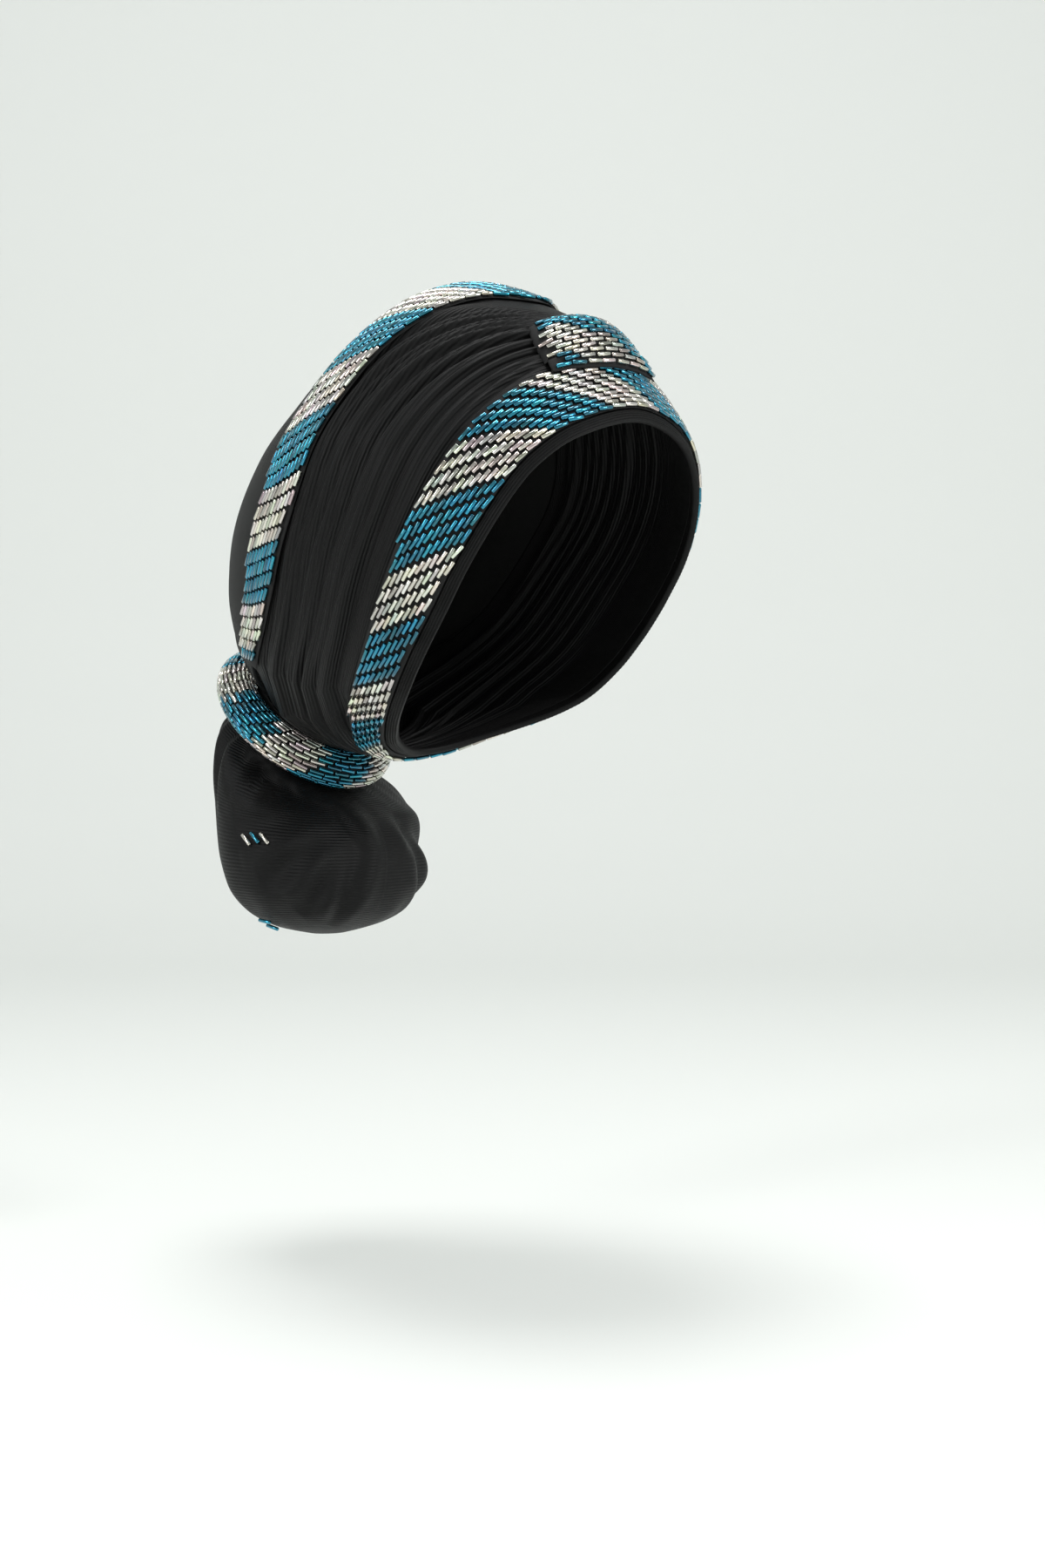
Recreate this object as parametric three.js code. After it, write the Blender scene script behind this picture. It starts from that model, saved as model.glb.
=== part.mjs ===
// Turban headwrap of black stretch jersey with two beaded bands, as a head holds it.
//
// Millimetres, +Z up. The wearer faces -Y and the wearer's right is -X. The origin is the place where the
// top of the head bears against the inside of the crown, so the whole turban hangs round and below it.
// Everything is symmetric about the plane x = 0, apart from the loose beads on the pouch.
//
// The cloth follows one form, a skull-shaped surface: from a centre inside the head, each direction has a
// radius. A piece is a grid of directions on that form, lifted off it by its own outer and inner heights.

import * as THREE from "three";

// ---------------------------------------------------------------- sizes

const CENTRE = new THREE.Vector3(0, 0, -88); // middle of the head
const CLOTH = 2; // wall of doubled jersey
const GAP = 0.3; // clearance between neighbouring pieces
const BAND_LIFT = 0.8; // clearance under a band
const BAND_THICK = 2.5; // beads on their backing
const BAND_WIDTH = 25;
const TRIM_WIDTH = 5.5;
const TRIM_RISE = 1.2; // how far the trim's roll stands off the cloth

// Radius of the cloth's outer face: tilt is the angle from straight up, in degrees; front, side and back
// are the radii towards the face, the ears and the nape at that tilt.
const SKULL = [
  { tilt: 0, front: 90, side: 90, back: 90 },
  { tilt: 20, front: 88.5, side: 87, back: 84 },
  { tilt: 40, front: 91.5, side: 83, back: 82 },
  { tilt: 60, front: 95, side: 81.5, back: 88 },
  { tilt: 80, front: 103.5, side: 84, back: 104 },
  { tilt: 100, front: 110, side: 85, back: 128 },
  { tilt: 112, front: 112, side: 86.5, back: 140 },
  { tilt: 120, front: 112, side: 89, back: 144 },
  { tilt: 128, front: 112, side: 93, back: 142 },
  { tilt: 136, front: 112, side: 98, back: 138 },
  { tilt: 148, front: 110, side: 104, back: 128 },
  { tilt: 165, front: 106, side: 106, back: 114 },
  { tilt: 180, front: 104, side: 104, back: 104 },
];

// Middle line of the face band's beads, from the forehead to the nape. Each point is dropped onto the form.
const FACE_BAND = [
  { out: 0, back: -90, up: -44, width: BAND_WIDTH },
  { out: 36, back: -84, up: -53, width: BAND_WIDTH },
  { out: 55, back: -76, up: -66, width: BAND_WIDTH },
  { out: 67, back: -68, up: -82, width: BAND_WIDTH },
  { out: 75, back: -52, up: -109, width: BAND_WIDTH },
  { out: 75, back: -37, up: -132, width: 23 },
  { out: 71, back: -22, up: -151, width: 20 },
  { out: 61, back: -2, up: -171, width: 18 },
  { out: 46, back: 17, up: -184, width: 16 },
  { out: 26, back: 32, up: -190, width: 13 },
  { out: 0, back: 39, up: -192, width: 11 },
];

// Middle line of the crown strap, from the top of the crown to the ring.
const CROWN_STRAP = [
  { out: 0, back: -29, up: 3, width: BAND_WIDTH },
  { out: 18, back: -19, up: 1, width: BAND_WIDTH },
  { out: 50, back: 0, up: -19, width: BAND_WIDTH },
  { out: 73, back: 13, up: -42, width: BAND_WIDTH },
  { out: 84, back: 26, up: -78, width: BAND_WIDTH },
  { out: 82, back: 41, up: -104, width: 23 },
  { out: 71, back: 62, up: -136, width: 18 },
  { out: 53, back: 84, up: -157, width: 13 },
];

// Beaded roll at the nape: an oval ring, higher at the back, that gathers the cloth above the pouch.
const RING_CENTRE = new THREE.Vector3(0, 107, -183);
const RING_TILT = 37.5; // degrees
const RING_HALF_WIDTH = 32; // to the middle of the roll
const RING_HALF_LENGTH = 38;
const ROLL_RADIUS = 9;
const HEM_ABOVE = 10; // the cloth above the ring ends this far over the ring's plane
const HEM_REACH = 16; // how far out from the roll's middle the cloth starts to rise over it
const HEM_CORNER = 96; // degrees round the ring, from its front, where the crown strap comes down

// Pouch sections from the neck inside the ring to the bottom: wide across x, deep along y.
const POUCH_WALL = 2;
const POUCH = [
  { back: 104, up: -179, wide: 22.3, deep: 28.3, slope: 37.5 },
  { back: 107, up: -183, wide: 22.3, deep: 28.3, slope: 37.5 },
  { back: 111.5, up: -191.5, wide: 26, deep: 31, slope: 36 },
  { back: 112, up: -199, wide: 36, deep: 36, slope: 30 },
  { back: 106, up: -212, wide: 45, deep: 39, slope: 18 },
  { back: 99.5, up: -226, wide: 50, deep: 40.5, slope: 8 },
  { back: 95, up: -242, wide: 52, deep: 41, slope: 2 },
  { back: 93, up: -258, wide: 49, deep: 39, slope: 0 },
  { back: 92, up: -270, wide: 40, deep: 32, slope: 0 },
  { back: 91.5, up: -278, wide: 25, deep: 19, slope: 0 },
  { back: 91.5, up: -281.5, wide: 9, deep: 7, slope: 0 },
];

// Centre knot: a raised beaded hood over the gathered drape. pitch is the angle from straight up towards
// the face, half the hood's half width, rise the height of its outer face over the cloth at the middle.
const KNOT_WALL = 2;
const KNOT_SHIFT = -3; // it sits a little towards the wearer's right
const KNOT = [
  { pitch: 60, half: 31, rise: 5.2 },
  { pitch: 58.5, half: 31, rise: 7.2 },
  { pitch: 55, half: 30, rise: 9 },
  { pitch: 50.5, half: 29, rise: 9.8 },
  { pitch: 46, half: 27, rise: 9.2 },
  { pitch: 43, half: 24.5, rise: 7 },
  { pitch: 41.5, half: 23.5, rise: 4.6 },
];

// Folds of the drape: count of pleats across it and how deep they press in.
const PLEATS = 7;
const PLEAT_DEPTH = 1.6;

// Loose glass tubes sewn to the pouch: place round it (degrees from its front, towards the wearer's
// right), height, and slant of the tube from upright.
const BEAD_LENGTH = 7;
const BEAD_RADIUS = 1;
const POUCH_BEADS = [
  { name: "pouch_bead_1", round: 79, up: -237, slant: 27 },
  { name: "pouch_bead_2", round: 73, up: -236, slant: 27 },
  { name: "pouch_bead_3", round: 67, up: -236.5, slant: 27 },
  { name: "pouch_bead_4", round: 93, up: -273, slant: 72 },
  { name: "pouch_bead_5", round: 99, up: -276, slant: 72 },
];

// ---------------------------------------------------------------- finishes

const JERSEY = { color: 0x0c0c0d, roughness: 0.92, metalness: 0 };
const BEADWORK = { color: 0x2f7f9c, roughness: 0.28, metalness: 0.2 };
const RIBBED = { color: 0x101011, roughness: 0.85, metalness: 0 };
const GLASS = { color: 0x9ccfdc, roughness: 0.15, metalness: 0.2 };

// ---------------------------------------------------------------- tables and the skull form

const radians = THREE.MathUtils.degToRad;

// A smooth curve through a table's column that never overshoots its rows.
function through(rows, input, key, at) {
  const last = rows.length - 2;
  const found = rows.findIndex((row) => row[input] > at);
  const i = found < 0 ? last : Math.min(Math.max(found - 1, 0), last);
  const rise = (k) => (rows[k + 1][key] - rows[k][key]) / (rows[k + 1][input] - rows[k][input]);
  const slope = (k) => {
    if (k === 0 || k === rows.length - 1) return 0;
    const before = rise(k - 1);
    const after = rise(k);
    return before * after <= 0 ? 0 : (2 * before * after) / (before + after);
  };
  const span = rows[i + 1][input] - rows[i][input];
  const f = THREE.MathUtils.clamp((at - rows[i][input]) / span, 0, 1);
  const g = 1 - f;
  const ends = g * g * (1 + 2 * f) * rows[i][key] + f * f * (3 - 2 * f) * rows[i + 1][key];
  return ends + span * f * g * (g * slope(i) - f * slope(i + 1));
}

// Distance from CENTRE to the cloth's outer face: across a level section the side and the front (or back)
// radius combine as the half axes of an ellipse.
function skullRadius(direction) {
  const tilt = THREE.MathUtils.radToDeg(Math.acos(THREE.MathUtils.clamp(direction.z, -1, 1)));
  const level = Math.max(Math.hypot(direction.x, direction.y), 1e-9);
  const fore = through(SKULL, "tilt", direction.y < 0 ? "front" : "back", tilt);
  const side = through(SKULL, "tilt", "side", tilt);
  return 1 / Math.hypot(direction.x / level / side, direction.y / level / fore);
}

function towards(point) {
  return point.clone().sub(CENTRE).normalize();
}

function onSkull(direction, lift) {
  return direction.clone().multiplyScalar(skullRadius(direction) + lift).add(CENTRE);
}

// ---------------------------------------------------------------- paths of the bands

// The whole middle line from a table of its right half: from the wearer's right to the left.
function wholePath(rows, closed) {
  const right = rows.map((row) => new THREE.Vector3(-row.out, row.back, row.up));
  const left = right.map((p) => new THREE.Vector3(-p.x, p.y, p.z));
  const widths = rows.map((row) => row.width);
  const points = closed
    ? [...right.slice().reverse(), ...left.slice(1, -1)]
    : [...right.slice().reverse(), ...left.slice(1)];
  const across = closed
    ? [...widths.slice().reverse(), ...widths.slice(1, -1)]
    : [...widths.slice().reverse(), ...widths.slice(1)];
  const line = new THREE.CatmullRomCurve3(points, closed, "catmullrom", 0.5);
  const wide = new THREE.CatmullRomCurve3(
    across.map((w, i) => new THREE.Vector3(i, w, 0)),
    closed,
    "catmullrom",
    0.5,
  );
  return { line, wide, closed };
}

// Direction from CENTRE to a place on a band: along runs 0 to 1 over the path, side is in millimetres
// from the middle line, positive away from the face.
function bandDirection(path, along, side) {
  const step = 1e-3;
  const wrap = (t) => (path.closed ? (t + 1) % 1 : THREE.MathUtils.clamp(t, 0, 1));
  const spot = (t) => onSkull(towards(path.line.getPoint(wrap(t))), 0);
  const here = spot(along);
  const run = spot(along + step).sub(spot(along - step)).normalize();
  const up = towards(here);
  const sideways = up.clone().cross(run).normalize();
  return towards(here.addScaledVector(sideways, side));
}

function halfWidth(path, along) {
  const t = path.closed ? (along + 1) % 1 : along;
  return path.wide.getPoint(t).y / 2;
}

const faceBand = wholePath(FACE_BAND, true);
const crownStrap = wholePath(CROWN_STRAP, false);

// ---------------------------------------------------------------- ring and hem

const ringAxis = new THREE.Vector3(0, -Math.sin(radians(RING_TILT)), Math.cos(radians(RING_TILT)));
const ringBack = new THREE.Vector3(0, Math.cos(radians(RING_TILT)), Math.sin(radians(RING_TILT)));

// A place round an oval that is parallel to the ring: turn is 0 at its front and grows over the
// wearer's right to 180 at the back.
function roundRing(turn, wide, deep, above) {
  return RING_CENTRE.clone()
    .addScaledVector(ringAxis, above)
    .addScaledVector(ringBack, -deep * Math.cos(radians(turn)))
    .add(new THREE.Vector3(-wide * Math.sin(radians(turn)), 0, 0));
}

function hemDirection(turn) {
  return towards(roundRing(turn, RING_HALF_WIDTH - 7.5, RING_HALF_LENGTH - 8, HEM_ABOVE));
}

// A place on the cloth, raised where the cloth climbs over the ring's roll and into it.
function onCloth(direction, lift) {
  const point = onSkull(direction, lift);
  const offset = point.clone().sub(RING_CENTRE);
  const height = offset.dot(ringAxis);
  const outward = Math.hypot(offset.x / RING_HALF_WIDTH, offset.dot(ringBack) / RING_HALF_LENGTH);
  const reach = (outward - 1) * RING_HALF_WIDTH;
  const needed = HEM_ABOVE * THREE.MathUtils.smoothstep(-reach, -HEM_REACH, 0) - lift;
  const below = THREE.MathUtils.smoothstep(-reach, -HEM_REACH - 4, -HEM_REACH);
  if (height < needed && below > 0) point.addScaledVector(ringAxis, (needed - height) * below);
  return point;
}

// ---------------------------------------------------------------- closed sheets

// Flips a closed mesh whose triangles point inwards.
function facingOut(points, triangles) {
  let volume = 0;
  for (let i = 0; i < triangles.length; i += 3) {
    const [a, b, c] = [points[triangles[i]], points[triangles[i + 1]], points[triangles[i + 2]]];
    volume += a.dot(b.clone().cross(c));
  }
  return volume < 0 ? triangles.slice().reverse() : triangles;
}

function geometryOf(points, triangles) {
  const geometry = new THREE.BufferGeometry().setFromPoints(points);
  geometry.setIndex(facingOut(points, triangles));
  geometry.computeVertexNormals();
  return geometry;
}

// A walled sheet: outer(u, v) and inner(u, v) give its two faces for u and v from 0 to 1, and the rims
// close it. Where looped, u = 1 is u = 0 again.
function walledSheet(along, across, looped, outer, inner) {
  const columns = looped ? along : along + 1;
  const points = [];
  for (const face of [outer, inner]) {
    for (let i = 0; i < columns; i += 1) {
      for (let j = 0; j <= across; j += 1) points.push(face(i / along, j / across));
    }
  }
  const layer = columns * (across + 1);
  const at = (face, i, j) => face * layer + (i % columns) * (across + 1) + j;
  const triangles = [];
  const quad = (a, b, c, d) => triangles.push(a, b, c, a, c, d);
  for (let i = 0; i < along; i += 1) {
    for (let j = 0; j < across; j += 1) {
      quad(at(0, i, j), at(0, i + 1, j), at(0, i + 1, j + 1), at(0, i, j + 1));
      quad(at(1, i, j), at(1, i, j + 1), at(1, i + 1, j + 1), at(1, i + 1, j));
    }
    quad(at(0, i, 0), at(1, i, 0), at(1, i + 1, 0), at(0, i + 1, 0));
    quad(at(0, i, across), at(0, i + 1, across), at(1, i + 1, across), at(1, i, across));
  }
  for (let j = 0; j < across && !looped; j += 1) {
    quad(at(0, 0, j), at(0, 0, j + 1), at(1, 0, j + 1), at(1, 0, j));
    quad(at(0, along, j), at(1, along, j), at(1, along, j + 1), at(0, along, j + 1));
  }
  return geometryOf(points, triangles);
}

function between(a, b, share) {
  return a.clone().lerp(b, share).normalize();
}

// ---------------------------------------------------------------- pieces

function makeFaceBand() {
  const face = (lift) => (u, v) => {
    const side = THREE.MathUtils.lerp(1, -1, v) * halfWidth(faceBand, u);
    return onSkull(bandDirection(faceBand, u, side), lift);
  };
  return walledSheet(48, 3, true, face(BAND_LIFT + BAND_THICK), face(BAND_LIFT));
}

// The trim is a flat roll that closes the cloth's edge in front of the face band's beads.
function makeFaceTrim() {
  const face = (middleLift, edgeLift) => (u, v) => {
    const side = -halfWidth(faceBand, u) - GAP - TRIM_WIDTH * (1 - v);
    const crown = Math.sin(Math.PI * v);
    return onSkull(bandDirection(faceBand, u, side), THREE.MathUtils.lerp(edgeLift, middleLift, crown));
  };
  return walledSheet(48, 2, true, face(TRIM_RISE, 0), face(-CLOTH - 0.4, -CLOTH));
}

function makeCrownStrap() {
  const face = (lift) => (u, v) => {
    const side = THREE.MathUtils.lerp(1, -1, v) * halfWidth(crownStrap, u);
    return onSkull(bandDirection(crownStrap, u, side), lift);
  };
  return walledSheet(36, 3, false, face(BAND_LIFT + BAND_THICK), face(BAND_LIFT));
}

// Rear edge of the drape: the first and last stretches run round the ring, the rest follows the middle
// of the crown strap.
const HEM_SHARE = 0.16;

function drapeRear(u) {
  const share = Math.min(u, 1 - u) / HEM_SHARE;
  const sign = u < 0.5 ? 1 : -1;
  if (share < 1) return hemDirection(sign * share * HEM_CORNER);
  const along = (u - HEM_SHARE) / (1 - 2 * HEM_SHARE);
  return bandDirection(crownStrap, along, -GAP);
}

function drapeFront(u) {
  return bandDirection(faceBand, u, -halfWidth(faceBand, u));
}

// The drape's pleats run with it, fade out under the bands and press in between.
function makeDrape() {
  const pleat = (u, v) => {
    const fade = Math.sin(Math.PI * v) ** 0.5;
    const wave = 0.5 - 0.5 * Math.cos(2 * Math.PI * PLEATS * v);
    return -PLEAT_DEPTH * fade * wave * Math.min(1, 6 * Math.min(u, 1 - u));
  };
  const face = (lift) => (u, v) => onCloth(between(drapeFront(u), drapeRear(u), v), lift + pleat(u, v));
  return walledSheet(52, 2 * PLEATS, true, face(0), face(-CLOTH));
}

// The cap fills the space from the crown strap to the back of the ring.
function makeBackCap() {
  const face = (lift) => (u, v) => {
    const front = bandDirection(crownStrap, u, GAP);
    const rear = hemDirection(THREE.MathUtils.lerp(HEM_CORNER + 2, 358 - HEM_CORNER, u));
    return onCloth(between(front, rear, v), lift);
  };
  return walledSheet(30, 10, false, face(0), face(-CLOTH));
}

// The knot's hood arches between its two ends, where it goes down to the cloth.
function makeKnot() {
  const face = (drop) => (u, v) => {
    const pitch = THREE.MathUtils.lerp(KNOT.at(-1).pitch, KNOT[0].pitch, v);
    const rows = KNOT.slice().reverse();
    const half = through(rows, "pitch", "half", pitch);
    const rise = through(rows, "pitch", "rise", pitch);
    const share = THREE.MathUtils.lerp(-1, 1, u);
    const arch = (1 - share ** 2) ** 0.6;
    const foot = KNOT_WALL + GAP + (pitch > 56 ? BAND_LIFT + BAND_THICK : 0);
    const lean = radians(pitch);
    const reach = share * half + KNOT_SHIFT;
    const straight = new THREE.Vector3(0, -Math.sin(lean), Math.cos(lean));
    const spot = onSkull(straight, 0).add(new THREE.Vector3(reach, 0, 0));
    const lift = foot + Math.max(rise - foot, 0) * arch;
    return onSkull(towards(spot), lift - drop);
  };
  return walledSheet(16, 6, false, face(0), face(KNOT_WALL));
}

// The ring is a round section carried along its oval.
function makeRing() {
  const turns = 36;
  const sides = 10;
  const points = [];
  for (let i = 0; i < turns; i += 1) {
    const turn = (360 * i) / turns;
    const middle = roundRing(turn, RING_HALF_WIDTH, RING_HALF_LENGTH, 0);
    const wider = roundRing(turn, RING_HALF_WIDTH + 1, RING_HALF_LENGTH + 1, 0);
    const outward = wider.sub(middle).normalize();
    for (let j = 0; j < sides; j += 1) {
      const angle = (2 * Math.PI * j) / sides;
      points.push(
        middle
          .clone()
          .addScaledVector(outward, ROLL_RADIUS * Math.cos(angle))
          .addScaledVector(ringAxis, ROLL_RADIUS * Math.sin(angle)),
      );
    }
  }
  const at = (i, j) => (i % turns) * sides + (j % sides);
  const triangles = [];
  for (let i = 0; i < turns; i += 1) {
    for (let j = 0; j < sides; j += 1) {
      triangles.push(at(i, j), at(i + 1, j), at(i + 1, j + 1));
      triangles.push(at(i, j), at(i + 1, j + 1), at(i, j + 1));
    }
  }
  return geometryOf(points, triangles);
}

// A point of the pouch: down runs 0 to 1 over the table's rows, turn is 0 at the front and 90 at the
// wearer's right, inset shrinks the section.
function pouchPoint(down, turn, inset) {
  const rows = POUCH.map((row, i) => ({ ...row, step: i / (POUCH.length - 1) }));
  const value = (key) => through(rows, "step", key, down);
  const slope = radians(value("slope"));
  const wide = Math.max(value("wide") - inset, 0.5);
  const deep = Math.max(value("deep") - inset, 0.5);
  const side = -wide * Math.sin(radians(turn));
  const back = -deep * Math.cos(radians(turn));
  return new THREE.Vector3(
    side,
    value("back") + back * Math.cos(slope),
    value("up") + back * Math.sin(slope),
  );
}

// The pouch is open at its neck and closed at the bottom, where both its walls end in a small flat.
function makePouch() {
  const rings = 16;
  const sides = 24;
  const points = [];
  for (const inset of [0, POUCH_WALL]) {
    for (let i = 0; i <= rings; i += 1) {
      for (let j = 0; j < sides; j += 1) {
        const point = pouchPoint(i / rings, (360 * j) / sides, inset);
        point.z += inset * (i / rings);
        points.push(point);
      }
    }
  }
  const layer = (rings + 1) * sides;
  const at = (face, i, j) => face * layer + i * sides + (j % sides);
  const triangles = [];
  for (let j = 0; j < sides; j += 1) {
    for (let i = 0; i < rings; i += 1) {
      triangles.push(at(0, i, j), at(0, i, j + 1), at(0, i + 1, j + 1));
      triangles.push(at(0, i, j), at(0, i + 1, j + 1), at(0, i + 1, j));
      triangles.push(at(1, i, j), at(1, i + 1, j + 1), at(1, i, j + 1));
      triangles.push(at(1, i, j), at(1, i + 1, j), at(1, i + 1, j + 1));
    }
    triangles.push(at(0, 0, j), at(1, 0, j), at(1, 0, j + 1));
    triangles.push(at(0, 0, j), at(1, 0, j + 1), at(0, 0, j + 1));
  }
  for (const [face, first, second] of [
    [0, 0, 1],
    [1, 1, 0],
  ]) {
    const middle = points.length;
    const bottom = pouchPoint(1, 0, face * POUCH_WALL).add(pouchPoint(1, 180, face * POUCH_WALL));
    bottom.multiplyScalar(0.5);
    bottom.z += face * POUCH_WALL;
    points.push(bottom);
    for (let j = 0; j < sides; j += 1) {
      triangles.push(middle, at(face, rings, j + first), at(face, rings, j + second));
    }
  }
  return geometryOf(points, triangles);
}

// A bead lies on the pouch's outer face, slanted in the plane that touches the pouch there.
function makePouchBead({ round, up, slant }) {
  const steps = 400;
  let down = 0;
  for (let i = steps / 2; i <= steps; i += 1) {
    if (pouchPoint(i / steps, round, 0).z > up) down = i / steps;
  }
  const here = pouchPoint(down, round, 0);
  const fall = pouchPoint(down + 0.01, round, 0).sub(pouchPoint(down - 0.01, round, 0)).normalize();
  const around = pouchPoint(down, round + 2, 0).sub(pouchPoint(down, round - 2, 0)).normalize();
  const outward = fall.clone().cross(around).normalize();
  if (outward.dot(here.clone().setY(here.y - POUCH[6].back).setZ(0)) < 0) outward.negate();
  const length = fall
    .multiplyScalar(Math.cos(radians(slant)))
    .addScaledVector(around, -Math.sin(radians(slant)));
  const geometry = new THREE.CylinderGeometry(BEAD_RADIUS, BEAD_RADIUS, BEAD_LENGTH, 8);
  const turn = new THREE.Quaternion().setFromUnitVectors(new THREE.Vector3(0, 1, 0), length);
  geometry.applyQuaternion(turn);
  const place = here.addScaledVector(outward, BEAD_RADIUS + 2 * GAP);
  geometry.translate(place.x, place.y, place.z);
  return geometry;
}

// ---------------------------------------------------------------- assembly

function piece(name, geometry, finish) {
  const mesh = new THREE.Mesh(geometry, new THREE.MeshStandardMaterial(finish));
  mesh.name = name;
  return mesh;
}

const turban = new THREE.Group();
turban.add(
  piece("face_band", makeFaceBand(), BEADWORK),
  piece("face_trim", makeFaceTrim(), RIBBED),
  piece("crown_strap", makeCrownStrap(), BEADWORK),
  piece("pleated_drape", makeDrape(), JERSEY),
  piece("back_cap", makeBackCap(), JERSEY),
  piece("centre_knot", makeKnot(), BEADWORK),
  piece("nape_ring", makeRing(), BEADWORK),
  piece("tail_pouch", makePouch(), JERSEY),
);
for (const bead of POUCH_BEADS) turban.add(piece(bead.name, makePouchBead(bead), GLASS));

export default turban;
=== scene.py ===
"""Looks of a turban headwrap: pleated black jersey, two beaded bands, a knot, a nape ring and a pouch.

Sizes are in millimetres until a mesh is made. +Z is up, the wearer faces -Y and the wearer's right is -X.
"""

import logging
import math
from dataclasses import dataclass, field
from enum import Enum

import bpy
import numpy as np
from mathutils import Matrix, Vector

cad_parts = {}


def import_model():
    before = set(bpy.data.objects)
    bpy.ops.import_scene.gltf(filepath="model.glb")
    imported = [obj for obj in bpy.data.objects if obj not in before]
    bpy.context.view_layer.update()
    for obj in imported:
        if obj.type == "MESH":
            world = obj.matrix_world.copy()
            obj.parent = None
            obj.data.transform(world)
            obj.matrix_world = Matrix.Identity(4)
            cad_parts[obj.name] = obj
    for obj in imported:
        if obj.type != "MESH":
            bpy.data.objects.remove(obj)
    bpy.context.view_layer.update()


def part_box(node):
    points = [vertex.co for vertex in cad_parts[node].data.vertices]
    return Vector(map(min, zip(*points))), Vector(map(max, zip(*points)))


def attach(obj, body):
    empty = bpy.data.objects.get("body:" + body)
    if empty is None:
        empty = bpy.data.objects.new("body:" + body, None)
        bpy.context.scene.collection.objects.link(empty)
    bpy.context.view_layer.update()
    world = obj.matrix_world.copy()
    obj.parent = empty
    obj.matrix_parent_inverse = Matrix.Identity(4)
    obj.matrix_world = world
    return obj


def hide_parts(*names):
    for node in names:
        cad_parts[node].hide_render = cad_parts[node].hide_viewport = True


LOG = logging.getLogger("turban")
MM = 0.001

CENTRE = np.array([0.0, 0.0, -88.0])
CLOTH = 2.0
BAND_LIFT = 0.8
TRIM_WIDTH = 5.5

# tilt from straight up in degrees, then the radius to the front, the side and the back
SKULL = np.array(
    [
        (0, 90, 90, 90),
        (20, 88.5, 87, 84),
        (40, 91.5, 83, 82),
        (60, 95, 81.5, 88),
        (80, 103.5, 84, 104),
        (100, 110, 85, 128),
        (112, 112, 86.5, 140),
        (120, 112, 89, 144),
        (128, 112, 93, 142),
        (136, 112, 98, 138),
        (148, 110, 104, 128),
        (165, 106, 106, 114),
        (180, 104, 104, 104),
    ]
)

# out from the midplane, back, up, width: the middle line of each band's right half
FACE_BAND = (
    (0, -90, -44, 25),
    (36, -84, -53, 25),
    (55, -76, -66, 25),
    (67, -68, -82, 25),
    (75, -52, -109, 25),
    (75, -37, -132, 23),
    (71, -22, -151, 20),
    (61, -2, -171, 18),
    (46, 17, -184, 16),
    (26, 32, -190, 13),
    (0, 39, -192, 11),
)
CROWN_STRAP = (
    (0, -29, 3, 25),
    (18, -19, 1, 25),
    (50, 0, -19, 25),
    (73, 13, -42, 25),
    (84, 26, -78, 25),
    (82, 41, -104, 23),
    (71, 62, -136, 18),
    (53, 84, -157, 13),
)

RING_CENTRE = np.array([0.0, 107.0, -183.0])
RING_TILT = math.radians(37.5)
RING_AXIS = np.array([0.0, -math.sin(RING_TILT), math.cos(RING_TILT)])
RING_BACK = np.array([0.0, math.cos(RING_TILT), math.sin(RING_TILT)])
RING_WIDE = 32.0
RING_DEEP = 38.0
ROLL = 9.0
HEM_ABOVE = 10.0
HEM_REACH = 16.0
HEM_CORNER = 96.0
HEM_SHARE = 0.16

# back, up, wide, deep, slope: sections of the pouch from its neck down
POUCH = np.array(
    [
        (104, -179, 22.3, 28.3, 37.5),
        (107, -183, 22.3, 28.3, 37.5),
        (111.5, -191.5, 26, 31, 36),
        (112, -199, 36, 36, 30),
        (106, -212, 45, 39, 18),
        (99.5, -226, 50, 40.5, 8),
        (95, -242, 52, 41, 2),
        (93, -258, 49, 39, 0),
        (92, -270, 40, 32, 0),
        (91.5, -278, 25, 19, 0),
        (91.5, -281.5, 9, 7, 0),
    ]
)

# pitch from straight up, half width, rise of the outer face
KNOT = np.array(
    [
        (41.5, 23.5, 4.6),
        (43, 24.5, 7),
        (46, 27, 9.2),
        (50.5, 29, 9.8),
        (55, 30, 9),
        (58.5, 31, 7.2),
        (60, 31, 5.2),
    ]
)
KNOT_SHIFT = -3.0

BEAD_LENGTH = 6.7
BEAD_RADIUS = 0.88
COLUMN = 2.07
STRIPE = 4
LEAN = 0.11


class Tone(Enum):
    """Colour of a bead's lining: linear red, green and blue."""

    SILVER = (0.62, 0.59, 0.53)
    BLUE = (0.004, 0.20, 0.30)


@dataclass(frozen=True)
class Fold:
    """One pleat of the drape.

    at and drift place it across the drape at the knot and towards the nape, depth is in millimetres, width
    is a share of the drape, and near and far say how far from the knot it runs (0 knot, 0.5 nape).
    """

    at: float
    drift: float
    depth: float
    width: float
    near: float
    far: float


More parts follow.
